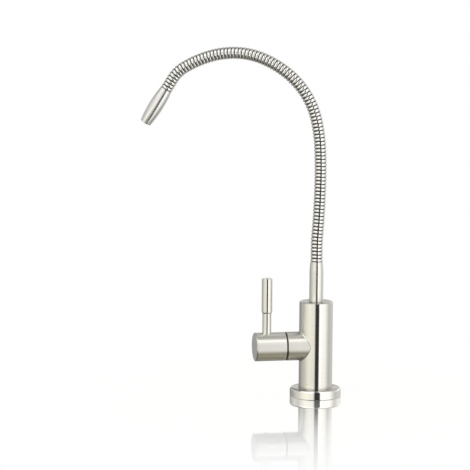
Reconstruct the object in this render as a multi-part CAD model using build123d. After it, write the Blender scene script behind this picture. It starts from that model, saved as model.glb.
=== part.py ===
from build123d import *
import math
import os

# All lengths are in millimetres. The origin is the centre of the underside of the base gasket,
# on the worktop, with +Z up. The valve branch points along -X and the user stands at -Y.

# Worktop fixing
worktop_gap = 20.0
shank_diameter = 11.11
shank_spare_thread = 3.5
shank_waterway = 5.0
shank_end_chamfer = 0.6
inlet_tail_diameter = 9.73
inlet_tail_length = 15.0
tube_socket_diameter = 6.5
tube_socket_depth = 15.0
thread_clearance = 0.05
washer_clearance = 0.25
deck_washer_diameter = 32.0
deck_washer_thickness = 3.0
backing_washer_diameter = 30.0
backing_washer_thickness = 2.0
lock_washer_diameter = 18.0
lock_washer_thickness = 1.6
lock_washer_split = 2.0
nut_across_flats = 17.5
nut_thickness = 7.0
nut_corner_chamfer = 0.9

# Base flange, and the gasket that stands proud of its recess in the flange
gasket_diameter = 37.0
gasket_thickness = 1.0
gasket_proud = 0.3
gasket_clearance = 0.1
flange_diameter = 42.7
flange_height = 7.2
flange_edge_radius = 2.0
spigot_clearance = 0.1

# Body with its valve branch
body_diameter = 28.0
body_length = 72.0
body_edge_chamfer = 0.4
spigot_diameter = 20.0
spigot_length = 6.0
shank_engagement = 11.0
shank_seal_thickness = 1.5
inlet_diameter = 7.0
branch_diameter = 24.0
branch_axis_height = 35.0
branch_stub = 11.4
branch_edge_chamfer = 0.3
weld_radius = 1.2
seat_port_diameter = 6.5
feed_diameter = 4.0

# Cartridge, listed from its seat in the branch outwards
cartridge_diameter = 17.0
seat_seal_diameter = 15.0
seat_seal_thickness = 1.5
sleeve_diameter = 15.0
sleeve_length = 7.5
pocket_diameter = 12.4
disc_diameter = 12.0
disc_thickness = 2.5
disc_gap = 0.02
disc_port_diameter = 3.2
disc_port_offset = 3.3
driver_length = 11.0
driver_width = 3.2
driver_thickness = 2.0
driver_engagement = 1.0
driver_clearance = 0.05
driver_end_play = 0.2
sleeve_window_diameter = 3.5
land_length = 3.0
cartridge_thread_length = 6.0
cartridge_head_flats = 17.6
cartridge_head_thickness = 1.5
neck_diameter = 11.0
neck_length = 4.5
spindle_diameter = 7.0
spindle_clearance = 0.05
spindle_square = 5.0
spindle_square_length = 10.4
o_ring_section = 1.1
o_ring_side_room = 0.25
o_ring_clearance = 0.05

# Handle
seam_ring_diameter = 23.4
seam_ring_bore = 20.8
seam_ring_thickness = 1.1
handle_gap = 0.1
hub_diameter = 24.0
hub_length = 25.4
hub_edge_radius = 0.8
hub_cavity_depth = 5.4
spindle_relief_diameter = 7.6
spindle_relief_depth = 2.0
lever_offset = 15.1
lever_seat_sink = 0.75
lever_stud_diameter = 5.0
lever_stud_length = 5.0
lever_lower_diameter = 7.6
lever_lower_length = 16.7
lever_taper_length = 1.2
lever_upper_diameter = 9.0
lever_upper_length = 28.0
lever_end_chamfer = 0.3
grub_diameter = 4.0
grub_length = 8.0
grub_key_flats = 2.0
grub_key_depth = 2.5

# Swivel spout stem and its ferrule
stem_diameter = 11.0
stem_length = 20.0
stem_clearance = 0.05
stem_waterway = 4.0
stem_end_room = 1.0
swivel_gap = 0.05
retainer_depth = 6.0
retainer_thickness = 1.4
retainer_width = 1.9
retainer_opening = 5.0
retainer_stem_groove = 0.7
retainer_side_play = 0.1
stem_seal_depths = (11.5, 15.5)
ferrule_diameter = 11.8
ferrule_length = 33.3
ferrule_mouth_step = 0.05
ferrule_taper_length = 7.4
hose_socket_depth = 12.0
liner_seat_depth = 5.0

# Ribbed bending hose and its inner tube
hose_diameter = 10.4
hose_groove_depth = 0.8
hose_bore = 6.5
hose_length = 282.4
hose_straight_end = 10.5
hose_end_clearance = 0.05
link_count = 12
ribs_per_link = 8
rib_crest_share = 0.42
joint_gap = 1.0
liner_diameter = 6.2
liner_bore = 4.0
liner_gap = 0.75

# The turn of each link at rest, in degrees from the ferrule to the nozzle, positive towards the
# nozzle's side. The spout's plane is turned from the branch by spout_turn about the vertical.
link_turns = (-4.4, 2.1, 1.7, 3.6, 10.3, 20.3, 19.7, 15.8, 21.0, 17.3, 14.0, 26.0)
spout_turn = 25.0

# Nozzle
nozzle_length = 33.6
nozzle_inlet_step = 0.2
nozzle_belly_diameter = 12.3
nozzle_tip_diameter = 9.4
nozzle_belly_share = 0.5
nozzle_tip_radius = 0.4
outlet_diameter = 6.4
nozzle_chamber_length = 5.3
insert_diameter = 5.8
insert_thickness = 4.5
insert_clearance = 0.05
insert_hole_diameter = 1.2
insert_hole_circle = 3.8
insert_outer_holes = 6

# One overrun serves every cut that has to pass a surface, and one small number tells nothing from
# something in lengths and turns
overrun = 2.0
tiny = 1e-6

# Heights and distances that follow from the sizes above
body_base = gasket_proud + flange_height
body_top = body_base + body_length
branch_height = body_base + branch_axis_height
branch_end = body_diameter / 2 + branch_stub
cartridge_length = sleeve_length + land_length + cartridge_thread_length
sleeve_mouth = branch_end - cartridge_length
cartridge_seat = sleeve_mouth - seat_seal_thickness
shank_top = body_base - spigot_length + shank_engagement
deck_washer_top = -worktop_gap
backing_washer_top = deck_washer_top - deck_washer_thickness
lock_washer_top = backing_washer_top - backing_washer_thickness
nut_top = lock_washer_top - lock_washer_thickness
nut_base = nut_top - nut_thickness
tail_top = nut_base - shank_spare_thread
shank_base = tail_top - inlet_tail_length
ferrule_top = body_top + swivel_gap + ferrule_length
link_length = hose_length / link_count
rib_pitch = link_length / ribs_per_link
hose_core_diameter = hose_diameter - 2 * hose_groove_depth
ferrule_mouth_diameter = hose_diameter + 2 * ferrule_mouth_step
nozzle_inlet_diameter = hose_diameter - 2 * nozzle_inlet_step
hub_start = branch_end + seam_ring_thickness + handle_gap
lever_distance = hub_start + lever_offset
disc_floor = sleeve_mouth + disc_thickness
driver_start = disc_floor + disc_gap + disc_thickness
driver_end = driver_start + driver_thickness
pocket_end = driver_end + driver_end_play
insert_start = hose_socket_depth + liner_seat_depth + nozzle_chamber_length
insert_end = insert_start + insert_thickness
outlet_depth = nozzle_length - insert_end


def rod(diameter, start, end):
    """A round bar about Z between two heights."""
    return Pos(0, 0, start) * Cylinder(
        diameter / 2, end - start, align=(Align.CENTER, Align.CENTER, Align.MIN)
    )


def ring(outer, inner, start, end):
    """A round bar with a bore through it."""
    return rod(outer, start, end) - rod(inner, start - overrun, end + overrun)


def bar(length, width, start, end):
    """A rectangular bar along Z, centred on the axis."""
    return Pos(0, 0, start) * Box(
        length, width, end - start, align=(Align.CENTER, Align.CENTER, Align.MIN)
    )


def hexagon(across_flats, start, end):
    """A hexagonal bar about Z between two heights."""
    outline = RegularPolygon(across_flats / 2, 6, major_radius=False)
    return Pos(0, 0, start) * extrude(outline, end - start)


def hexagon_corner(across_flats):
    """The distance of a hexagon's corners from its centre."""
    return across_flats / math.sqrt(3)


def turned(points):
    """A solid of revolution about Z from an outline of (radius, height) points."""
    outline = Polyline([(radius, 0, height) for radius, height in points], close=True)
    return revolve(make_face(outline), Axis.Z)


def drilling(start, end, diameter):
    """A round bar between two points in space."""
    line = Vector(*end) - Vector(*start)
    length = line.length
    return Plane(origin=start, z_dir=line) * rod(diameter, 0, length)


def top_circle(shape, order=-1):
    """A circular edge by height: -1 is the highest and 0 the lowest."""
    return shape.edges().filter_by(GeomType.CIRCLE).sort_by(Axis.Z)[order]


def on_branch(shape):
    """Lays a shape built along Z onto the branch: its Z runs outwards and its X points up."""
    return Pos(0, 0, branch_height) * Rot(0, -90, 0) * shape


def in_spout(shape):
    """Turns a shape built in the XZ plane into the spout's plane."""
    return Rot(0, 0, -spout_turn) * shape


def o_ring(bore_diameter, height):
    """A ring that fills its groove and just clears the bore round it."""
    outer = bore_diameter / 2 - o_ring_clearance
    return Pos(0, 0, height) * Torus(outer - o_ring_section / 2, o_ring_section / 2)


def o_ring_groove(bore_diameter, land_diameter, height):
    """The material taken from a shaft to seat the ring that runs in a bore."""
    floor = bore_diameter - 2 * (o_ring_clearance + o_ring_section)
    half = o_ring_section / 2 + o_ring_side_room
    return ring(land_diameter + overrun, floor, height - half, height + half)


# Worktop fixing


def make_shank():
    shank = rod(shank_diameter, tail_top, shank_top - shank_seal_thickness)
    shank = chamfer(top_circle(shank), shank_end_chamfer)
    shank = chamfer(top_circle(shank, 0), shank_end_chamfer)
    tail = rod(inlet_tail_diameter, shank_base, tail_top)
    shank += chamfer(top_circle(tail, 0), shank_end_chamfer)
    shank -= rod(shank_waterway, shank_base, shank_top)
    shank -= rod(tube_socket_diameter, shank_base - overrun, shank_base + tube_socket_depth)
    return shank


def make_shank_seal():
    start = shank_top - shank_seal_thickness
    return ring(shank_diameter, shank_waterway, start, shank_top)


def make_deck_washer():
    bore = shank_diameter + 2 * washer_clearance
    return ring(deck_washer_diameter, bore, backing_washer_top, deck_washer_top)


def make_backing_washer():
    bore = shank_diameter + 2 * washer_clearance
    return ring(backing_washer_diameter, bore, lock_washer_top, backing_washer_top)


def make_lock_washer():
    bore = shank_diameter + 2 * washer_clearance
    washer = ring(lock_washer_diameter, bore, nut_top, lock_washer_top)
    split = Pos(lock_washer_diameter / 2, 0, 0) * bar(
        lock_washer_diameter, lock_washer_split, nut_top - overrun, lock_washer_top + overrun
    )
    return washer - split


def make_fixing_nut():
    bore = shank_diameter + 2 * thread_clearance
    corner = hexagon_corner(nut_across_flats)
    bevelled = turned(
        [
            (0, nut_base),
            (corner - nut_corner_chamfer, nut_base),
            (corner, nut_base + nut_corner_chamfer / 2),
            (corner, nut_top),
            (0, nut_top),
        ]
    )
    blank = hexagon(nut_across_flats, nut_base, nut_top) & bevelled
    return blank - rod(bore, nut_base - overrun, nut_top + overrun)


# Base


def make_flange_gasket():
    bore = spigot_diameter + 2 * spigot_clearance
    return ring(gasket_diameter, bore, 0, gasket_thickness)


def make_base_flange():
    flange = rod(flange_diameter, gasket_proud, body_base)
    flange = fillet(top_circle(flange), flange_edge_radius)
    recess = gasket_diameter + 2 * gasket_clearance
    bore = spigot_diameter + 2 * spigot_clearance
    flange -= rod(recess, gasket_proud - overrun, gasket_thickness)
    return flange - rod(bore, gasket_thickness - overrun, body_base + overrun)


# Body


def make_body_blank():
    """The column and its branch, joined by a small weld fillet."""
    column = chamfer(top_circle(rod(body_diameter, body_base, body_top)), body_edge_chamfer)
    branch = chamfer(top_circle(rod(branch_diameter, 0, branch_end)), branch_edge_chamfer)
    branch = on_branch(branch)
    blank = column + branch
    known = column.edges() + branch.edges()
    seam = [
        edge
        for edge in blank.edges()
        if all((edge.center() - other.center()).length > weld_radius / 2 for other in known)
    ]
    blank = fillet(seam, weld_radius)
    return blank + rod(spigot_diameter, body_base - spigot_length, body_base)


def make_tap_body():
    body = make_body_blank()
    foot = body_base - spigot_length
    thread = shank_diameter + 2 * thread_clearance
    body -= rod(thread, foot - overrun, shank_top)
    body -= rod(inlet_diameter, foot, branch_height + seat_port_diameter / 2)
    body -= on_branch(rod(seat_port_diameter, 0, cartridge_seat + overrun))
    body -= on_branch(rod(cartridge_diameter, cartridge_seat, branch_end + overrun))
    socket_floor = body_top - stem_length - stem_end_room
    chamber_top = branch_height + cartridge_diameter / 2
    landing = (-(sleeve_mouth + feed_diameter), 0, chamber_top - feed_diameter / 2)
    body -= drilling((0, 0, socket_floor + stem_end_room), landing, feed_diameter)
    socket = stem_diameter + 2 * stem_clearance
    body -= rod(socket, socket_floor, body_top + overrun)
    half = retainer_thickness / 2 + retainer_side_play
    middle = body_top - retainer_depth
    groove = stem_diameter - 2 * retainer_stem_groove + 2 * (retainer_width + retainer_side_play)
    body -= rod(groove, middle - half, middle + half)
    return body


# Cartridge


def make_seat_seal():
    return on_branch(ring(seat_seal_diameter, seat_port_diameter, cartridge_seat, sleeve_mouth))


def disc_blank(start):
    """A ceramic disc with its two ports on the X axis."""
    disc = rod(disc_diameter, start, start + disc_thickness)
    port = rod(disc_port_diameter, start - overrun, start + disc_thickness + overrun)
    return disc - Pos(disc_port_offset, 0, 0) * port - Pos(-disc_port_offset, 0, 0) * port


def make_fixed_disc():
    return on_branch(disc_blank(sleeve_mouth))


def make_moving_disc():
    """Shut at rest: its ports stand a quarter turn from those of the fixed disc."""
    disc = Rot(0, 0, 90) * disc_blank(disc_floor + disc_gap)
    slot = bar(
        driver_length + 2 * driver_clearance,
        driver_width + 2 * driver_clearance,
        driver_start - driver_engagement - driver_clearance,
        driver_start + overrun,
    )
    return on_branch(disc - slot)


def make_spindle():
    round_end = hub_start + hub_cavity_depth + spindle_relief_depth
    spindle = bar(driver_length, driver_width, driver_start - driver_engagement, driver_end)
    spindle &= rod(driver_length, driver_start - driver_engagement, driver_end)
    spindle += rod(spindle_diameter, driver_end, round_end)
    spindle += bar(spindle_square, spindle_square, round_end, round_end + spindle_square_length)
    bore = spindle_diameter + 2 * spindle_clearance
    spindle -= o_ring_groove(bore, spindle_diameter, spindle_seal_place())
    return on_branch(spindle)


def spindle_seal_place():
    """Half way along the stretch of the cartridge that holds the spindle."""
    return (pocket_end + branch_end) / 2


def cartridge_seal_place():
    return branch_end - cartridge_thread_length - land_length / 2


def make_spindle_o_ring():
    bore = spindle_diameter + 2 * spindle_clearance
    return on_branch(o_ring(bore, spindle_seal_place()))


def make_cartridge_o_ring():
    return on_branch(o_ring(cartridge_diameter, cartridge_seal_place()))


def make_cartridge_body():
    head_end = branch_end + cartridge_head_thickness
    neck_end = head_end + neck_length
    land_start = sleeve_mouth + sleeve_length
    threaded = cartridge_diameter - 2 * thread_clearance
    body = rod(sleeve_diameter, sleeve_mouth, land_start)
    body += rod(threaded, land_start, branch_end)
    body += hexagon(cartridge_head_flats, branch_end, head_end)
    body += rod(neck_diameter, head_end, neck_end)
    body -= rod(pocket_diameter, sleeve_mouth - overrun, pocket_end)
    body -= rod(spindle_diameter + 2 * spindle_clearance, pocket_end - overrun, neck_end + overrun)
    body -= o_ring_groove(cartridge_diameter, threaded, cartridge_seal_place())
    window = (driver_start + pocket_end) / 2
    body -= drilling(
        (-sleeve_diameter, 0, window), (sleeve_diameter, 0, window), sleeve_window_diameter
    )
    return on_branch(body)


# Handle


def make_seam_ring():
    end = branch_end + seam_ring_thickness
    return on_branch(ring(seam_ring_diameter, seam_ring_bore, branch_end, end))


def lever_seat_radius():
    """The flat of the lever's seat, measured from the hub's axis."""
    return hub_diameter / 2 - lever_seat_sink


def grub_tip_radius():
    return spindle_square / 2 + driver_clearance


def make_handle_hub():
    hub_end = hub_start + hub_length
    cavity_end = hub_start + hub_cavity_depth
    relief_end = cavity_end + spindle_relief_depth
    square = spindle_square + 2 * driver_clearance
    square_end = relief_end + spindle_square_length + spindle_clearance
    hub = rod(hub_diameter, hub_start, hub_end)
    hub = fillet(top_circle(hub), hub_edge_radius)
    hub = chamfer(top_circle(hub, 0), branch_edge_chamfer)
    hub -= rod(seam_ring_bore, hub_start - overrun, cavity_end)
    hub -= rod(spindle_relief_diameter, hub_start, relief_end)
    hub -= bar(square, square, hub_start, square_end)
    seat = lever_seat_radius()
    outside = hub_diameter / 2 + overrun
    stud_hole = lever_stud_diameter + 2 * thread_clearance
    stud_end = seat - lever_stud_length - thread_clearance
    seat_bore = lever_lower_diameter + 2 * thread_clearance
    hub -= drilling((seat, 0, lever_distance), (outside, 0, lever_distance), seat_bore)
    hub -= drilling((stud_end, 0, lever_distance), (outside, 0, lever_distance), stud_hole)
    grub_hole = grub_diameter + 2 * thread_clearance
    hub -= drilling((0, 0, lever_distance), (-outside, 0, lever_distance), grub_hole)
    return on_branch(hub)


def make_hub_grub_screw():
    tip = grub_tip_radius()
    screw = rod(grub_diameter, tip, tip + grub_length)
    screw -= hexagon(grub_key_flats, tip + grub_length - grub_key_depth, tip + grub_length + overrun)
    upside_down = Rot(0, -90, 0) * screw
    return on_branch(Pos(0, 0, lever_distance) * upside_down)


def make_lever_pin():
    seat = lever_seat_radius()
    stud_end = seat - lever_stud_length
    taper_start = seat + lever_lower_length
    taper_end = taper_start + lever_taper_length
    tip = taper_end + lever_upper_length
    pin = turned(
        [
            (0, stud_end),
            (lever_stud_diameter / 2, stud_end),
            (lever_stud_diameter / 2, seat),
            (lever_lower_diameter / 2, seat),
            (lever_lower_diameter / 2, taper_start),
            (lever_upper_diameter / 2, taper_end),
            (lever_upper_diameter / 2, tip - lever_end_chamfer),
            (lever_upper_diameter / 2 - lever_end_chamfer, tip),
            (0, tip),
        ]
    )
    return Pos(-lever_distance, 0, branch_height) * pin


# Swivel


def make_retaining_ring():
    """A split ring that holds the stem down in the body and lets it turn."""
    floor = stem_diameter - 2 * retainer_stem_groove
    middle = body_top - retainer_depth
    start = middle - retainer_thickness / 2
    end = middle + retainer_thickness / 2
    inner = floor + 2 * stem_clearance
    split = Pos(0, stem_diameter, 0) * bar(
        retainer_opening, 2 * stem_diameter, start - overrun, end + overrun
    )
    return ring(floor + 2 * retainer_width, inner, start, end) - split


def make_swivel_o_rings():
    bore = stem_diameter + 2 * stem_clearance
    return [o_ring(bore, body_top - depth) for depth in stem_seal_depths]


def make_spout_ferrule():
    seat = body_top + swivel_gap
    stem_end = body_top - stem_length
    ferrule = rod(stem_diameter, stem_end, seat)
    ferrule += turned(
        [
            (0, seat),
            (ferrule_diameter / 2, seat),
            (ferrule_diameter / 2, ferrule_top - ferrule_taper_length),
            (ferrule_mouth_diameter / 2, ferrule_top),
            (0, ferrule_top),
        ]
    )
    bore = stem_diameter + 2 * stem_clearance
    for depth in stem_seal_depths:
        ferrule -= o_ring_groove(bore, stem_diameter, body_top - depth)
    middle = body_top - retainer_depth
    half = retainer_thickness / 2 + retainer_side_play
    floor = stem_diameter - 2 * retainer_stem_groove
    ferrule -= ring(stem_diameter + overrun, floor, middle - half, middle + half)
    socket_floor = ferrule_top - hose_socket_depth
    liner_floor = socket_floor - liner_seat_depth
    hose_socket = hose_core_diameter + 2 * hose_end_clearance
    liner_socket = liner_diameter + 2 * hose_end_clearance
    ferrule -= rod(stem_waterway, stem_end - overrun, ferrule_top)
    ferrule -= rod(liner_socket, liner_floor, ferrule_top)
    ferrule -= rod(hose_socket, socket_floor, ferrule_top + overrun)
    return ferrule


# Hose line in the XZ plane: runs and arcs of (length, turn), from below the ferrule's mouth up to
# the inside of the nozzle. A length along it is measured from the ferrule's mouth.


def hose_runs():
    """Every stretch of the line as (start, length, turn in degrees)."""
    tail = hose_socket_depth + liner_seat_depth
    runs = [(-tail, tail + hose_straight_end, 0.0)]
    place = hose_straight_end
    for number, turn in enumerate(link_turns, 1):
        end = number * link_length
        if number == link_count:
            end = hose_length - hose_straight_end
        runs.append((place, end - place, turn))
        place = end
    runs.append((place, hose_straight_end + tail, 0.0))
    return runs


def run_point(length, turn, heading):
    """The step along one run, as (x, z), starting at a heading from up towards -X."""
    if abs(turn) < tiny:
        return -length * math.sin(heading), length * math.cos(heading)
    bend = turn / length
    end = heading + turn
    step_x = (math.cos(end) - math.cos(heading)) / bend
    step_z = (math.sin(end) - math.sin(heading)) / bend
    return step_x, step_z


def hose_spot(place):
    """The point (x, z) and the heading, in radians, at a length along the hose."""
    x = 0.0
    z = ferrule_top + hose_runs()[0][0]
    heading = 0.0
    for start, length, degrees in hose_runs():
        turn = math.radians(degrees)
        if place <= start + length:
            share = (place - start) / length
            step = run_point(place - start, turn * share, heading) if share > 0 else (0.0, 0.0)
            return x + step[0], z + step[1], heading + turn * max(share, 0.0)
        step = run_point(length, turn, heading)
        x += step[0]
        z += step[1]
        heading += turn
    return x, z, heading


def hose_plane(place):
    """The plane square to the hose at a length along it, with its X axis steady along Y."""
    x, z, heading = hose_spot(place)
    return Plane(
        origin=(x, 0, z), x_dir=(0, 1, 0), z_dir=(-math.sin(heading), 0, math.cos(heading))
    )


def hose_path(begin, finish):
    """The line between two places as straight runs and tangent arcs."""
    edges = []
    for start, length, degrees in hose_runs():
        low = max(begin, start)
        high = min(finish, start + length)
        if high - low < tiny:
            continue
        ends = [hose_spot(low), hose_spot((low + high) / 2), hose_spot(high)]
        points = [(x, 0, z) for x, z, heading in ends]
        if abs(degrees) < tiny:
            edges.append(Line(points[0], points[2]))
        else:
            edges.append(ThreePointArc(*points))
    return Wire([edge for curve in edges for edge in curve.edges()])


def along_hose(begin, finish, diameter):
    """A round bar that follows the hose's line."""
    section = hose_plane(begin) * Circle(diameter / 2)
    return sweep(section, path=hose_path(begin, finish))


def hose_circle(place, diameter):
    return hose_plane(place) * Circle(diameter / 2)


def make_gooseneck_link(number):
    """A ribbed length of the hose, with a plain end where it enters the ferrule or the nozzle."""
    first = (number - 1) * link_length
    last = number * link_length
    foot = (rib_pitch - joint_gap) / 2
    crest = rib_crest_share * rib_pitch / 2
    circles = []
    for rib in range(ribs_per_link):
        middle = first + (rib + 0.5) * rib_pitch
        circles.append(hose_circle(middle - foot, hose_core_diameter))
        circles.append(hose_circle(middle - crest, hose_diameter))
        circles.append(hose_circle(middle + crest, hose_diameter))
        circles.append(hose_circle(middle + foot, hose_core_diameter))
    bore_start = first
    bore_end = last
    if number == 1:
        bore_start = -hose_socket_depth - overrun
        circles.insert(0, hose_circle(-hose_socket_depth, hose_core_diameter))
    if number == link_count:
        bore_end = hose_length + hose_socket_depth + overrun
        circles.append(hose_circle(hose_length + hose_socket_depth, hose_core_diameter))
    link = loft(circles, ruled=True)
    return in_spout(link - along_hose(bore_start, bore_end, hose_bore))


def make_liner_tube(number):
    """The length of the water tube inside one link."""
    first = (number - 1) * link_length + liner_gap / 2
    last = number * link_length - liner_gap / 2
    if number == 1:
        first = -hose_socket_depth - liner_seat_depth
    if number == link_count:
        last = hose_length + hose_socket_depth + liner_seat_depth
    return in_spout(
        along_hose(first, last, liner_diameter) - along_hose(first, last, liner_bore)
    )


# Nozzle, built along Z from the end of the ribs


def in_nozzle(shape):
    return in_spout(hose_plane(hose_length) * shape)


def make_nozzle():
    belly = nozzle_belly_share * nozzle_length
    inlet_point = (nozzle_inlet_diameter / 2, 0, 0)
    belly_point = (nozzle_belly_diameter / 2, 0, belly)
    tip_point = (nozzle_tip_diameter / 2, 0, nozzle_length)
    side = ThreePointArc(inlet_point, belly_point, tip_point)
    rest = Polyline(tip_point, (0, 0, nozzle_length), (0, 0, 0), inlet_point)
    nozzle = revolve(make_face([*side.edges(), *rest.edges()]), Axis.Z)
    nozzle = fillet(top_circle(nozzle), nozzle_tip_radius)
    hose_socket = hose_core_diameter + 2 * hose_end_clearance
    liner_socket = liner_diameter + 2 * hose_end_clearance
    nozzle -= rod(hose_socket, -overrun, hose_socket_depth)
    nozzle -= rod(liner_socket, 0, hose_socket_depth + liner_seat_depth)
    nozzle -= rod(stem_waterway, 0, nozzle_length)
    nozzle -= rod(insert_diameter + 2 * insert_clearance, insert_start, nozzle_length)
    nozzle -= rod(outlet_diameter, insert_end, nozzle_length + overrun)
    return in_nozzle(nozzle)


def make_flow_insert():
    """The flow straightener, a thick disc with a middle hole and a ring of holes."""
    insert = rod(insert_diameter, insert_start, insert_end)
    hole = rod(insert_hole_diameter, insert_start - overrun, insert_end + overrun)
    insert -= hole
    for number in range(insert_outer_holes):
        turn = Rot(0, 0, 360 / insert_outer_holes * number)
        insert -= turn * Pos(insert_hole_circle / 2, 0, 0) * hole
    return in_nozzle(insert)


# Hose joints, for whoever records the motion


def hose_joint(number):
    """The hinge point between two links, in the part's own frame."""
    x, z, heading = hose_spot(number * link_length)
    turn = math.radians(-spout_turn)
    return x * math.cos(turn), x * math.sin(turn), z


def hose_joint_axis():
    """The hinge axis: a positive turn raises the nozzle."""
    turn = math.radians(-spout_turn)
    return -math.sin(turn), math.cos(turn), 0.0


def make_nodes():
    nodes = {
        "shank": make_shank(),
        "shank_seal": make_shank_seal(),
        "deck_washer": make_deck_washer(),
        "backing_washer": make_backing_washer(),
        "lock_washer": make_lock_washer(),
        "fixing_nut": make_fixing_nut(),
        "flange_gasket": make_flange_gasket(),
        "base_flange": make_base_flange(),
        "tap_body": make_tap_body(),
        "seat_seal": make_seat_seal(),
        "fixed_disc": make_fixed_disc(),
        "moving_disc": make_moving_disc(),
        "cartridge_body": make_cartridge_body(),
        "cartridge_o_ring": make_cartridge_o_ring(),
        "spindle": make_spindle(),
        "spindle_o_ring": make_spindle_o_ring(),
        "seam_ring": make_seam_ring(),
        "handle_hub": make_handle_hub(),
        "hub_grub_screw": make_hub_grub_screw(),
        "lever_pin": make_lever_pin(),
        "retaining_ring": make_retaining_ring(),
        "swivel_o_rings": Compound(make_swivel_o_rings()),
        "spout_ferrule": make_spout_ferrule(),
    }
    for number in range(1, link_count + 1):
        nodes[f"gooseneck_link_{number:02d}"] = make_gooseneck_link(number)
        nodes[f"liner_tube_{number:02d}"] = make_liner_tube(number)
    nodes["nozzle"] = make_nozzle()
    nodes["flow_insert"] = make_flow_insert()
    return nodes


os.makedirs("parts", exist_ok=True)
for name, solid in make_nodes().items():
    export_step(solid, f"parts/{name}.step")
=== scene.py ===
import math

import bmesh
import bpy
from mathutils import Matrix, Vector


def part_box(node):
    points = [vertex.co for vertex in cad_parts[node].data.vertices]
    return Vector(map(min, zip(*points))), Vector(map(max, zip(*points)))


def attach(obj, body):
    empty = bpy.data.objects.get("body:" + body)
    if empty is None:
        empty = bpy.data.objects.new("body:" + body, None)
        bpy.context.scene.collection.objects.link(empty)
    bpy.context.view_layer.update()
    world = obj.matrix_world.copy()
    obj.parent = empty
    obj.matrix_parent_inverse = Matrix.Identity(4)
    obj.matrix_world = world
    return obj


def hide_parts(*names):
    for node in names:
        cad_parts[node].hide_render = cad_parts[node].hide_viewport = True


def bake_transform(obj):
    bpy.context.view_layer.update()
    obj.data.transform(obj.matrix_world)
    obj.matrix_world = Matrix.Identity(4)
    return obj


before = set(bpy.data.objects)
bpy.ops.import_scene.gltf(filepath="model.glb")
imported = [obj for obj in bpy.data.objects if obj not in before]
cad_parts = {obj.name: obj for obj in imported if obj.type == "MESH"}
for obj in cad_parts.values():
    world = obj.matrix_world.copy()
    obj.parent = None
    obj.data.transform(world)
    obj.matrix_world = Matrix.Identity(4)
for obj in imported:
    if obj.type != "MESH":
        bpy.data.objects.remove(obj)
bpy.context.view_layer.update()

# Sizes in metres, angles in degrees

# Camera, fitted to the photograph
camera_azimuth = -13.11
camera_distance = 1.8
camera_height = 0.3567
camera_yaw = 2.16
camera_pitch = 7.04
camera_roll = -0.41
camera_lens = 167.8
camera_sensor = 36.0
camera_near = 0.01
camera_far = 200

# Studio. Its azimuths are measured from a direction a little to the right of the camera, where its
# dark opening stands, and are positive to the right.
studio_turn = 7.5
white = (1, 1, 1, 1)
disc_sides = 96
floor_radius = 60
floor_roughness = 0.04
floor_shine_reach = 0.6
veil_height = 0.0001
ground_shade_radius = 0.4
ground_shade_height = -0.0002
ground_shade_middle = -0.025
ground_shade_width = 0.6

# Metals and other materials. Lines and patches are noise scales, per metre.
nickel = (0.83, 0.815, 0.75)
nozzle_nickel = (0.83, 0.82, 0.79)
steel = (0.90, 0.89, 0.85)
# Painted shade for the grooves between the hose's ribs
painted_groove_shade = (0.06, 0.058, 0.048)
metal_rim = 0.72
# A painted shade that darkens the end faces of turned pieces
painted_turned_end_shade = 0.68
brush_lines = 2600.0
coarse_brush_lines = 1800.0
fine_brush_lines = 9000.0
brush_patches = 40.0
brush_mark = 0.05
brush_depth = 0.000006
hub_brush_depth = 0.000002
nozzle_brush_depth = 0.0000005
brush_bump = 0.35
brush_low, brush_high = 0.25, 0.75
brush_rough_spread = 0.15
branch_edge_gap = 0.0003
grain_low, grain_high = 0.3, 0.7
grain_tone = 0.88
grain_bump = 0.4
hose_grain_tone = 0.95
hose_roughness = (0.08, 0.12)

# The part's own sizes, as in its source
body_radius = 0.014
branch_height = 0.0425
lever_distance = 0.0417
ferrule_top = 0.11285
spout_turn = 25.0
hose_radius = 0.0052
hose_core_radius = 0.0044
hose_bore_radius = 0.00325
hose_length = 0.2824
hose_straight_end = 0.0105
hose_socket_depth = 0.012
link_turns = (-4.4, 2.1, 1.7, 3.6, 10.3, 20.3, 19.7, 15.8, 21.0, 17.3, 14.0, 26.0)
ribs_per_link = 8
liner_radius = 0.0031
liner_bore_radius = 0.002
liner_seat_depth = 0.005

shank_radius = 0.005555
shank_chamfer = 0.0006
inlet_tail_length = 0.015
inlet_tail_radius = 0.004865
tube_socket_radius = 0.00325
tube_socket_depth = 0.015
waterway_radius = 0.0025

# The shank's thread, 24 to the inch
thread_pitch = 0.0254 / 24
thread_depth = 0.00061
thread_flat_share = 0.12
thread_rings = 8
thread_sides = 48
thread_sharp_angle = 28

# The ribs' outline, as shares of their pitch, and the fineness of the hose's mesh
rib_half_share = 0.42
rib_roundness = 2.3
rings_per_pitch = 16
bore_ring_step = 8
hose_sides = 48
hose_sharp_angle = 75
liner_steps = 24
liner_sides = 32

link_count = len(link_turns)
link_length = hose_length / link_count
rib_pitch = link_length / ribs_per_link
liner_reach = hose_socket_depth + liner_seat_depth

# A run that turns by less than this, in radians, counts as straight
straight = 1e-9

# The axes that the brushed pieces were turned about, as (origin, direction)
UP = Vector((0, 0, 1))
column_axis = (Vector((0, 0, 0)), UP)
branch_axis = (Vector((0, 0, branch_height)), Vector((1, 0, 0)))
lever_axis = (Vector((-lever_distance, 0, 0)), UP)


# Small helpers for shader nodes


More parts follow.
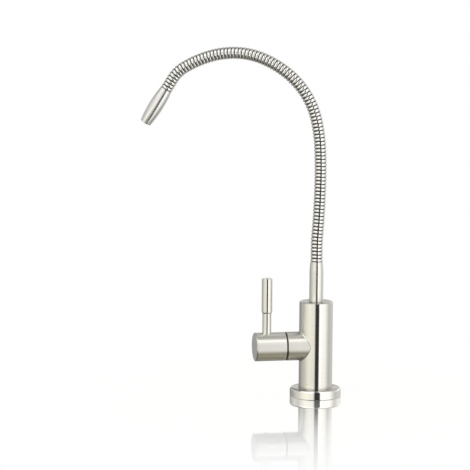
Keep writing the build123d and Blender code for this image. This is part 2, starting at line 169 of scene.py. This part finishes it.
class Shader:
    """A material's or a world's node tree, with short calls that add and link nodes."""

    def __init__(self, owner):
        owner.use_nodes = True
        self.tree = owner.node_tree
        self.tree.nodes.clear()

    def add(self, kind, **inputs):
        node = self.tree.nodes.new("ShaderNode" + kind)
        for name, value in inputs.items():
            self.feed(node.inputs[name.replace("_", " ")], value)
        return node

    def feed(self, socket, value):
        if isinstance(value, bpy.types.NodeSocket):
            self.tree.links.new(value, socket)
        else:
            socket.default_value = value

    def math(self, operation, *values):
        node = self.tree.nodes.new("ShaderNodeMath")
        node.operation = operation
        for socket, value in zip(node.inputs, values):
            self.feed(socket, value)
        return node.outputs[0]

    def vector(self, operation, *values):
        node = self.tree.nodes.new("ShaderNodeVectorMath")
        node.operation = operation
        for socket, value in zip(node.inputs, values):
            self.feed(socket, value)
        return node.outputs["Value" if operation in ("DOT_PRODUCT", "LENGTH") else "Vector"]

    def scaled(self, vector, factor):
        node = self.tree.nodes.new("ShaderNodeVectorMath")
        node.operation = "SCALE"
        self.feed(node.inputs[0], vector)
        self.feed(node.inputs["Scale"], factor)
        return node.outputs[0]

    def ramp(self, value, stops):
        """A colour ramp through (place, brightness or colour) stops."""
        node = self.tree.nodes.new("ShaderNodeValToRGB")
        elements = node.color_ramp.elements
        while len(elements) < len(stops):
            elements.new(0.5)
        for element, (place, colour) in zip(elements, stops):
            element.position = place
            tone = colour if isinstance(colour, tuple) else (colour, colour, colour)
            element.color = (*tone, 1)
        self.feed(node.inputs[0], value)
        return node.outputs[0]

    def spread(self, value, low, high, to_low, to_high):
        """The value, moved from one range to another."""
        node = self.add("MapRange", Value=value)
        for socket, limit in zip(node.inputs[1:5], (low, high, to_low, to_high)):
            socket.default_value = limit
        return node.outputs[0]

    def turned(self, vector, kind, start, end):
        """A vector or normal, taken from one space to another."""
        node = self.tree.nodes.new("ShaderNodeVectorTransform")
        node.vector_type = kind
        node.convert_from = start
        node.convert_to = end
        self.feed(node.inputs[0], vector)
        return node.outputs[0]

    def mix(self, factor, a, b, kind="RGBA"):
        node = self.tree.nodes.new("ShaderNodeMix")
        node.data_type = kind
        order = {"RGBA": (0, 6, 7, 2), "FLOAT": (0, 2, 3, 0), "VECTOR": (0, 4, 5, 1)}[kind]
        self.feed(node.inputs[order[0]], factor)
        self.feed(node.inputs[order[1]], a)
        self.feed(node.inputs[order[2]], b)
        return node.outputs[order[3]]

    def multiply(self, a, b):
        """Two colours, multiplied."""
        node = self.tree.nodes.new("ShaderNodeMix")
        node.data_type = "RGBA"
        node.blend_type = "MULTIPLY"
        node.inputs[0].default_value = 1.0
        self.feed(node.inputs[6], a)
        self.feed(node.inputs[7], b)
        return node.outputs[2]


def tint(colour, tone):
    return tuple(tone * share for share in colour)


def tinted(colour, stops):
    """Ramp stops of one colour, from (place, brightness) pairs."""
    return [(place, tint(colour, tone)) for place, tone in stops]


def new_shader(name):
    material = bpy.data.materials.new(name)
    return material, Shader(material)


def put_in_scene(name, data):
    piece = bpy.data.objects.new(name, data)
    bpy.context.scene.collection.objects.link(piece)
    return piece


# Studio: a white tent with a dark opening near the camera and grey flags at its sides


class Studio(Shader):
    """The world's light by direction, through ramps over azimuth and over elevation."""

    def __init__(self, owner):
        super().__init__(owner)
        place = self.add("TexCoord").outputs["Generated"]
        x, y, z = self.add("SeparateXYZ", Vector=place).outputs
        turn = self.math("ARCTAN2", x, self.math("MULTIPLY", y, -1.0))
        azimuth = self.math("SUBTRACT", turn, math.radians(camera_azimuth + studio_turn))
        round_share = self.math("DIVIDE", azimuth, 2 * math.pi)
        self.azimuth_share = self.math("FRACT", self.math("ADD", round_share, 0.5))
        self.height_share = self.math("ADD", self.math("DIVIDE", self.math("ARCSINE", z), math.pi), 0.5)
        self.above_floor = self.math("GREATER_THAN", z, 0.0)

    def around(self, stops):
        return self.ramp(self.azimuth_share, [(degrees / 360 + 0.5, tone) for degrees, tone in stops])

    def over(self, stops):
        return self.ramp(self.height_share, [(degrees / 180 + 0.5, tone) for degrees, tone in stops])


def make_world():
    world = bpy.data.worlds.new("studio")
    bpy.context.scene.world = world
    s = Studio(world)

    # Brightness by azimuth, with the dark opening apart
    around = s.around([
        (-180, 1.05), (-175, 1.0), (-168, 0.46), (-162, 0.36), (-154, 0.38), (-146, 0.40), (-132, 0.42),
        (-118, 0.52), (-106, 0.62), (-94, 0.72), (-84, 0.84), (-70, 1.06), (-56, 1.20), (-42, 1.22),
        (-20, 1.12), (12, 1.20), (22, 1.52), (34, 1.24), (46, 1.22), (58, 1.16), (71, 0.98), (80, 0.76),
        (90, 0.63), (100, 0.62), (114, 0.72), (130, 0.78), (150, 0.90), (164, 1.05), (180, 1.05),
    ])
    slot = s.around([(-20, 1.0), (-14, 0.66), (-9.5, 0.03), (13, 0.03), (15.2, 0.50), (17.5, 1.0)])

    # Brightness by elevation, for each side of the studio
    front = s.over([
        *tinted((1.0, 0.97, 0.84), [(-90, 0.80), (-60, 0.80)]),
        (-44, 0.95), (-38, 1.0), (-4, 1.0), (34, 0.98), (48, 1.2), (58, 1.10), (66, 0.52), (76, 0.48),
        (90, 0.60),
    ])
    left = s.over([
        (-90, 0.12), (-50, 0.12), (-34, 0.14), (-22, 0.28),
        *tinted((1.0, 0.98, 0.89), [(-15, 0.86), (-8, 1.18), (0, 1.00)]),
        (7, 0.76), (13, 0.66), (22, 0.98), (36, 1.30), (54, 1.45), (66, 0.90), (76, 0.60), (90, 0.56),
    ])
    low = [(-90, 0.66), (-56, 0.62), (-42, 0.60), (-28, 0.70), (-12, 0.95), (0, 1.02)]
    beside = s.over([
        *low, (6, 1.10), (14, 1.45), (22, 1.45), (30, 0.80), (50, 0.80), (66, 0.66), (90, 0.56),
    ])
    behind = s.over([
        *low, (6, 1.06), (11, 1.00), (15, 0.62), (24, 0.46), (34, 0.40), (50, 0.46), (66, 0.58), (90, 0.56),
    ])

    # How far each side reaches, by azimuth
    at_left = s.around([(-112, 0.0), (-90, 1.0), (-26, 1.0), (-10, 0.0)])
    at_side = s.around([(-120, 1.0), (-96, 0.0), (86, 0.0), (116, 1.0)])
    at_back = s.around([(-166, 1.0), (-154, 0.0), (154, 0.0), (166, 1.0)])
    over = s.mix(at_back, s.mix(at_side, s.mix(at_left, front, left), beside), behind)
    light = s.multiply(s.multiply(around, slot), over)

    # White for the camera, and where the floor reflects the world straight through the veil
    path = s.add("LightPath")
    past_veil = s.math("GREATER_THAN", path.outputs["Transparent Depth"], 0.5)
    first_turn = s.math("LESS_THAN", path.outputs["Ray Depth"], 2.5)
    off_floor = s.math("MULTIPLY", s.math("MULTIPLY", past_veil, first_turn), s.above_floor)
    bare = s.math("MAXIMUM", path.outputs["Is Camera Ray"], off_floor)
    background = s.add("Background", Color=s.mix(bare, light, white), Strength=1.0)
    s.add("OutputWorld", Surface=background.outputs[0])


def make_disc(name, radius, height):
    mesh = bpy.data.meshes.new(name)
    grid = bmesh.new()
    bmesh.ops.create_circle(grid, cap_ends=True, segments=disc_sides, radius=radius)
    grid.to_mesh(mesh)
    grid.free()
    disc = put_in_scene(name, mesh)
    disc.location.z = height
    return disc


def make_veil():
    """A clear sheet just over the floor, by which the world knows the light that the floor reflects."""
    veil = make_disc("veil", floor_radius, veil_height)
    veil.visible_camera = False
    veil.visible_shadow = False
    material, s = new_shader("veil")
    clear = s.add("BsdfTransparent", Color=white)
    s.add("OutputMaterial", Surface=clear.outputs[0])
    veil.data.materials.append(material)


def make_ground_shade():
    """The dimmer ground close to the tap, which only metal above it reflects, and steeply."""
    disc = make_disc("ground_shade", ground_shade_radius, ground_shade_height)
    disc.visible_camera = False
    material, s = new_shader("ground_shade")
    place = s.add("TexCoord").outputs["Object"]
    from_middle = s.vector("SUBTRACT", place, (ground_shade_middle, 0, 0))
    widened = s.vector("MULTIPLY", from_middle, (ground_shade_width, 1, 0))
    distance = s.math("DIVIDE", s.vector("LENGTH", widened), ground_shade_radius)
    shade = s.ramp(distance, [
        *tinted((1.0, 0.97, 0.86), [(0.03, 0.50), (0.06, 0.38), (0.10, 0.35), (0.13, 0.40), (0.17, 0.50)]),
        (0.22, (0.70, 0.69, 0.63)), (0.30, (0.85, 0.84, 0.79)), (0.5, (0.96, 0.96, 0.94)), (0.9, (1, 1, 1)),
    ])

    # The shade fades out where it would be seen at a grazing angle
    grazing = s.ramp(s.add("LayerWeight", Blend=0.5).outputs["Facing"], [(0.30, 0.0), (0.80, 1.0)])
    filtered = s.add("BsdfTransparent", Color=s.mix(grazing, shade, white))
    s.add("OutputMaterial", Surface=filtered.outputs[0])
    disc.data.materials.append(material)


def make_floor():
    """A white floor whose shine fades away from the tap."""
    floor = make_disc("floor", floor_radius, 0)
    floor.visible_glossy = False
    floor.visible_shadow = False
    material, s = new_shader("floor")
    distance = s.vector("LENGTH", s.add("TexCoord").outputs["Object"])
    shine = s.ramp(s.math("DIVIDE", distance, floor_shine_reach), [
        (0.05, 0.92), (0.10, 0.86), (0.18, 0.58), (0.26, 0.36), (0.36, 0.20), (0.46, 0.06), (1.0, 0.02),
    ])
    glow = s.add("Emission", Color=white, Strength=1.0)
    mirror = s.add("BsdfGlossy", Color=(1.0, 0.995, 0.985, 1), Roughness=floor_roughness)
    both = s.add("MixShader", Fac=shine)
    s.feed(both.inputs[1], glow.outputs[0])
    s.feed(both.inputs[2], mirror.outputs[0])
    s.add("OutputMaterial", Surface=both.outputs[0])
    floor.data.materials.append(material)


def make_camera():
    azimuth = math.radians(camera_azimuth)
    heading = math.radians(camera_azimuth + camera_yaw)
    pitch = math.radians(camera_pitch)
    roll = math.radians(camera_roll)
    place = Vector((
        camera_distance * math.sin(azimuth), -camera_distance * math.cos(azimuth), camera_height,
    ))
    forward = Vector((
        -math.sin(heading) * math.cos(pitch), math.cos(heading) * math.cos(pitch), -math.sin(pitch),
    ))
    level = Vector((math.cos(heading), math.sin(heading), 0))
    above = level.cross(forward)
    right = math.cos(roll) * level - math.sin(roll) * above
    top = math.sin(roll) * level + math.cos(roll) * above
    data = bpy.data.cameras.new("camera")
    data.lens = camera_lens
    data.sensor_width = camera_sensor
    data.clip_start = camera_near
    data.clip_end = camera_far
    camera = put_in_scene("camera", data)
    turn = Matrix((right, top, -forward)).transposed()
    camera.matrix_world = Matrix.Translation(place) @ turn.to_4x4()
    bpy.context.scene.camera = camera


# Materials


def brushed(s, axes, line_scale=brush_lines):
    """The turning lines of a piece: the direction across them, the lines as a noise, and how squarely
    each face looks along the axis.

    Each axis is (origin, direction, mask or None), and a later one takes over where its mask is 1."""
    place = s.add("TexCoord").outputs["Object"]
    normal = s.add("NewGeometry").outputs["Normal"]
    own_normal = s.vector("NORMALIZE", s.turned(normal, "NORMAL", "WORLD", "OBJECT"))
    for origin, direction, mask in axes:
        from_axis = s.vector("SUBTRACT", place, tuple(origin))
        round_it = s.vector("CROSS_PRODUCT", tuple(direction), from_axis)
        along = s.vector("DOT_PRODUCT", from_axis, tuple(direction))
        out = s.vector("LENGTH", round_it)
        facing = s.math("ABSOLUTE", s.vector("DOT_PRODUCT", own_normal, tuple(direction)))
        fine = s.add("CombineXYZ", X=along, Y=s.math("MULTIPLY", out, facing))
        fine = s.scaled(fine.outputs[0], line_scale)
        lines = s.vector("ADD", fine, s.scaled(from_axis, brush_patches))
        if mask is None:
            round_all, lines_all, facing_all = round_it, lines, facing
        else:
            round_all = s.mix(mask, round_all, round_it, "VECTOR")
            lines_all = s.mix(mask, lines_all, lines, "VECTOR")
            facing_all = s.mix(mask, facing_all, facing, "FLOAT")
    round_world = s.turned(round_all, "VECTOR", "OBJECT", "WORLD")
    across = s.vector("NORMALIZE", s.vector("CROSS_PRODUCT", normal, round_world))
    noise = s.add("TexNoise", Vector=lines_all, Scale=1.0, Detail=3.0, Roughness=0.6)
    return across, noise.outputs["Fac"], facing_all


def add_brushed_metal(s, across, lines, facing, colour, roughness, mark, depth, end_face_shade, rim):
    """The metal itself, with a painted shade that darkens faces cut square across the axis."""
    marks = s.ramp(lines, [
        (brush_low, tint(colour, 1 - mark)), (brush_high, tuple(min(1.0, c * (1 + mark)) for c in colour)),
    ])
    # Faces cut square across the axis, such as top faces, get a painted shade
    shade = s.multiply(marks, s.ramp(facing, [(0.75, 1.0), (0.97, end_face_shade)]))
    bump = s.add("Bump", Strength=brush_bump, Distance=depth, Height=lines)
    metal = s.add(
        "BsdfPrincipled", Base_Color=shade, Metallic=1.0, Roughness=roughness,
        Anisotropic=1.0, Tangent=across, Normal=bump.outputs[0], Specular_Tint=(rim, rim, rim, 1),
    )
    s.add("OutputMaterial", Surface=metal.outputs[0])


def make_brushed_metal(
    name, colour, roughness, axis, line_scale=brush_lines, mark=brush_mark, depth=brush_depth,
    end_face_shade=1.0, rim=1.0,
):
    """Brushed metal turned about one axis, given as (origin, direction)."""
    material, s = new_shader(name)
    across, lines, facing = brushed(s, [(*axis, None)], line_scale)
    smoother = roughness * (1 - brush_rough_spread)
    rougher = roughness * (1 + brush_rough_spread)
    rough = s.spread(lines, brush_low, brush_high, smoother, rougher)
    add_brushed_metal(s, across, lines, facing, colour, rough, mark, depth, end_face_shade, rim)
    return material


def make_hose_metal():
    """Polished ribs, with painted shade that darkens the grooves between them."""
    material, s = new_shader("gooseneck_steel")
    place = s.add("TexCoord").outputs["Object"]
    cloud = s.add("TexNoise", Vector=place, Scale=900.0, Detail=2.0).outputs["Fac"]
    bright = s.ramp(cloud, [(grain_low, tint(steel, hose_grain_tone)), (grain_high, steel)])
    groove = s.add("Attribute")
    groove.attribute_name = "groove"
    # The grooves get a painted shade, darker the deeper they lie
    depth = s.ramp(groove.outputs["Fac"], [(0.32, 0.0), (0.74, 1.0)])
    shade = s.mix(depth, bright, (*painted_groove_shade, 1))
    rough = s.spread(cloud, grain_low, grain_high, *hose_roughness)
    metal = s.add("BsdfPrincipled", Base_Color=shade, Metallic=1.0, Roughness=rough)
    s.add("OutputMaterial", Surface=metal.outputs[0])
    return material


def make_plain(name, colour, roughness, grain=1500.0, depth=0.00002):
    """A plastic, rubber or ceramic with a fine grain."""
    material, s = new_shader(name)
    place = s.add("TexCoord").outputs["Object"]
    cloud = s.add("TexNoise", Vector=place, Scale=grain, Detail=4.0).outputs["Fac"]
    shade = s.ramp(cloud, [(grain_low, tint(colour, grain_tone)), (grain_high, colour)])
    bump = s.add("Bump", Strength=grain_bump, Distance=depth, Height=cloud)
    solid = s.add("BsdfPrincipled", Base_Color=shade, Roughness=roughness, Normal=bump.outputs[0])
    s.add("OutputMaterial", Surface=solid.outputs[0])
    return material


def assign(names, material):
    for name in names:
        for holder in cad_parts[name].material_slots:
            holder.material = material


def dress_nodes():
    flange = make_brushed_metal(
        "nickel_flange", tint(nickel, 1.14), 0.17, column_axis, end_face_shade=painted_turned_end_shade, rim=metal_rim,
    )
    ferrule = make_brushed_metal(
        "nickel_ferrule", tint(nickel, 1.08), 0.30, column_axis, end_face_shade=painted_turned_end_shade,
    )
    hub = make_brushed_metal("nickel_hub", nickel, 0.17, branch_axis, mark=0.03, depth=hub_brush_depth)
    pin = make_brushed_metal("nickel_lever", nickel, 0.22, lever_axis)
    nozzle = make_brushed_metal(
        "nickel_nozzle", nozzle_nickel, 0.20, nozzle_axis(), fine_brush_lines, mark=0.04,
        depth=nozzle_brush_depth,
    )
    assign(["base_flange"], flange)
    assign(["spout_ferrule"], ferrule)
    assign(["handle_hub"], hub)
    assign(["lever_pin"], pin)
    assign(["tap_body"], make_body_metal())
    assign(["nozzle"], nozzle)
    plated = make_brushed_metal("plain_steel", (0.62, 0.62, 0.60), 0.32, column_axis, coarse_brush_lines)
    assign(["backing_washer", "lock_washer", "fixing_nut", "hub_grub_screw"], plated)
    make_shank(plated)
    brass = make_brushed_metal("brass", (0.80, 0.62, 0.30), 0.26, branch_axis, coarse_brush_lines)
    assign(["cartridge_body", "spindle"], brass)
    assign([
        "shank_seal", "deck_washer", "flange_gasket", "seat_seal", "cartridge_o_ring", "spindle_o_ring",
        "swivel_o_rings",
    ], make_plain("black_rubber", (0.022, 0.021, 0.02), 0.62))
    assign(["seam_ring"], make_plain("black_plastic", (0.03, 0.028, 0.026), 0.45, 1200.0))
    assign(["retaining_ring", "flow_insert"], make_plain("white_plastic", (0.84, 0.84, 0.81), 0.4))
    ceramic = make_plain("white_ceramic", (0.9, 0.89, 0.86), 0.16, 600.0, 0.000004)
    assign(["fixed_disc", "moving_disc"], ceramic)


def make_body_metal():
    """Brushed metal for a column that is turned about Z and a branch that is turned about X."""
    material, s = new_shader("nickel_body")
    place = s.add("TexCoord").outputs["Object"]
    off_axis = s.vector("LENGTH", s.vector("MULTIPLY", place, (1, 1, 0)))
    on_branch = s.math("GREATER_THAN", off_axis, body_radius + branch_edge_gap)
    across, lines, facing = brushed(s, [(*column_axis, None), (*branch_axis, on_branch)])
    add_brushed_metal(
        s, across, lines, facing, nickel, 0.19, brush_mark, brush_depth, painted_turned_end_shade, metal_rim,
    )
    return material


# Threaded shank


def make_shank(metal):
    """A hollow stud with a fine thread over its upper length and a plain tail with a tube socket."""
    low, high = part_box("shank")
    bottom, top = low[2], high[2]
    tail_top = bottom + inlet_tail_length
    socket_end = bottom + tube_socket_depth
    threaded = top - tail_top - 2 * shank_chamfer

    def thread(z, turn):
        """The thread's radius: flat crests and roots with straight flanks between, run out at both ends."""
        phase = (z / thread_pitch - turn / (2 * math.pi)) % 1.0
        rise = abs(2 * phase - 1)
        cut = min(max((rise - thread_flat_share) / (1 - 2 * thread_flat_share), 0.0), 1.0)
        ends = min(z - tail_top, top - z) - shank_chamfer
        fade = min(max(ends / thread_pitch, 0.0), 1.0)
        return shank_radius - thread_depth * cut * fade

    turns = [2 * math.pi * number / thread_sides for number in range(thread_sides)]
    middle = evenly(
        tail_top + shank_chamfer, top - shank_chamfer, round(threaded / thread_pitch * thread_rings),
    )
    tail = [
        (bottom, inlet_tail_radius - shank_chamfer), (bottom + shank_chamfer, inlet_tail_radius),
        (tail_top, inlet_tail_radius), (tail_top, shank_radius - shank_chamfer),
    ]
    bore = [
        (top, shank_radius - shank_chamfer), (top, waterway_radius), (socket_end, waterway_radius),
        (socket_end, tube_socket_radius), (bottom, tube_socket_radius),
    ]
    rings = [[(z, out)] * thread_sides for z, out in tail]
    rings += [[(z, thread(z, turn)) for turn in turns] for z in middle]
    rings += [[(z, out)] * thread_sides for z, out in bore]
    verts = [
        (out * math.cos(turn), out * math.sin(turn), z)
        for ring in rings for turn, (z, out) in zip(turns, ring)
    ]
    piece = ring_piece("threaded_shank", verts, len(rings), thread_sides, thread_sharp_angle)
    piece.data.materials.append(metal)
    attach(piece, "tap")
    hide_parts("shank")


# Hose line, as in the part's source: straight runs and arcs in the spout's plane


def hose_runs():
    """Each run's start, length and turn, from the liner's seat in the ferrule to its seat in the nozzle."""
    runs = [(-liner_reach, liner_reach + hose_straight_end, 0.0)]
    place = hose_straight_end
    for number, turn in enumerate(link_turns, 1):
        end = number * link_length
        if number == link_count:
            end = hose_length - hose_straight_end
        runs.append((place, end - place, math.radians(turn)))
        place = end
    runs.append((place, hose_straight_end + liner_reach, 0.0))
    return runs


def step_along(length, turn, heading):
    """How far a run takes the line, in the spout's plane."""
    if abs(turn) < straight:
        return -length * math.sin(heading), length * math.cos(heading)
    bend = turn / length
    end = heading + turn
    return (math.cos(end) - math.cos(heading)) / bend, (math.sin(end) - math.sin(heading)) / bend


def hose_spot(place):
    """The point on the hose's line, the direction along it and its two steady side directions."""
    runs = hose_runs()
    x, z, heading = 0.0, ferrule_top + runs[0][0], 0.0
    for start, length, turn in runs:
        used = min(max(place - start, 0.0), length)
        if used <= 0.0:
            break
        dx, dz = step_along(used, turn * used / length, heading)
        x, z, heading = x + dx, z + dz, heading + turn * used / length
    spin = Matrix.Rotation(math.radians(-spout_turn), 3, "Z")
    point = spin @ Vector((x, 0, z))
    along = spin @ Vector((-math.sin(heading), 0, math.cos(heading)))
    side = spin @ Vector((0, 1, 0))
    return point, along, side, along.cross(side)


def nozzle_axis():
    return hose_spot(hose_length)[:2]


def rib_height(place):
    """The share of a rib's height at a length along the hose: round crests with a narrow groove between."""
    phase = place / rib_pitch
    from_crest = abs(phase - math.floor(phase) - 0.5) / rib_half_share
    if from_crest >= 1:
        return 0.0
    return (1 - from_crest ** rib_roundness) ** (1 / rib_roundness)


def ring_faces(rings, sides):
    """The faces of a closed tube, whose last ring joins its first."""
    faces = []
    for ring in range(rings):
        low = ring * sides
        high = (ring + 1) % rings * sides
        for number in range(sides):
            after = (number + 1) % sides
            faces.append((low + number, low + after, high + after, high + number))
    return faces


def ring_piece(name, verts, rings, sides, sharp_angle):
    """A smooth piece from the points of a closed tube's rings."""
    mesh = bpy.data.meshes.new(name)
    mesh.from_pydata(verts, [], ring_faces(rings, sides))
    for polygon in mesh.polygons:
        polygon.use_smooth = True
    mesh.set_sharp_from_angle(angle=math.radians(sharp_angle))
    return put_in_scene(name, mesh)


def stretch_ends(number, seat):
    """Where the stretch over a hinge starts and ends. The first and the last reach into their seats."""
    low = -seat if number == 1 else (number - 0.5) * link_length
    high = hose_length + seat if number == link_count - 1 else (number + 0.5) * link_length
    return low, high


def evenly(low, high, steps):
    return [low + (high - low) * step / steps for step in range(steps + 1)]


def tube_piece(name, places, outer, inner, sides):
    """A closed tube along the hose's line. outer(place) gives its outside and inner is its bore."""
    rings = [(place, outer(place)) for place in places]
    rings += [(place, inner) for place in reversed([*places[:-1:bore_ring_step], places[-1]])]
    verts = []
    for place, radius in rings:
        point, along, side, over = hose_spot(place)
        for number in range(sides):
            turn = 2 * math.pi * number / sides
            verts.append(point + (math.cos(turn) * side + math.sin(turn) * over) * radius)
    return ring_piece(name, verts, len(rings), sides, hose_sharp_angle)


def make_hose():
    polished = make_hose_metal()
    soft = make_plain("clear_liner", (0.80, 0.82, 0.80), 0.35)

    def ribs(place):
        if not 0 < place < hose_length:
            return hose_core_radius
        return hose_core_radius + (hose_radius - hose_core_radius) * rib_height(place)

    def smooth_wall(place):
        return liner_radius

    for number in range(1, link_count):
        links = [number] if number < link_count - 1 else [number, link_count]

        low, high = stretch_ends(number, hose_socket_depth)
        places = evenly(low, high, round((high - low) / rib_pitch * rings_per_pitch))
        hose = tube_piece(f"gooseneck_{number:02d}", places, ribs, hose_bore_radius, hose_sides)
        # How deep each ring lies in a groove, which sets the metal's painted groove shade
        groove = hose.data.attributes.new("groove", "FLOAT", "POINT")
        for vertex, value in enumerate(groove.data):
            ring = vertex // hose_sides
            value.value = 1 - rib_height(places[ring]) if ring < len(places) else 1.0
        hose.data.materials.append(polished)
        names = [f"gooseneck_link_{link:02d}" for link in links]
        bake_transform(hose)
        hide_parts(*names)

        places = evenly(*stretch_ends(number, liner_reach), liner_steps)
        liner = tube_piece(f"liner_{number:02d}", places, smooth_wall, liner_bore_radius, liner_sides)
        liner.data.materials.append(soft)
        names = [f"liner_tube_{link:02d}" for link in links]
        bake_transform(liner)
        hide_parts(*names)


make_world()
make_floor()
make_veil()
make_ground_shade()
make_camera()
dress_nodes()
make_hose()
bpy.context.scene.view_settings.view_transform = "Standard"
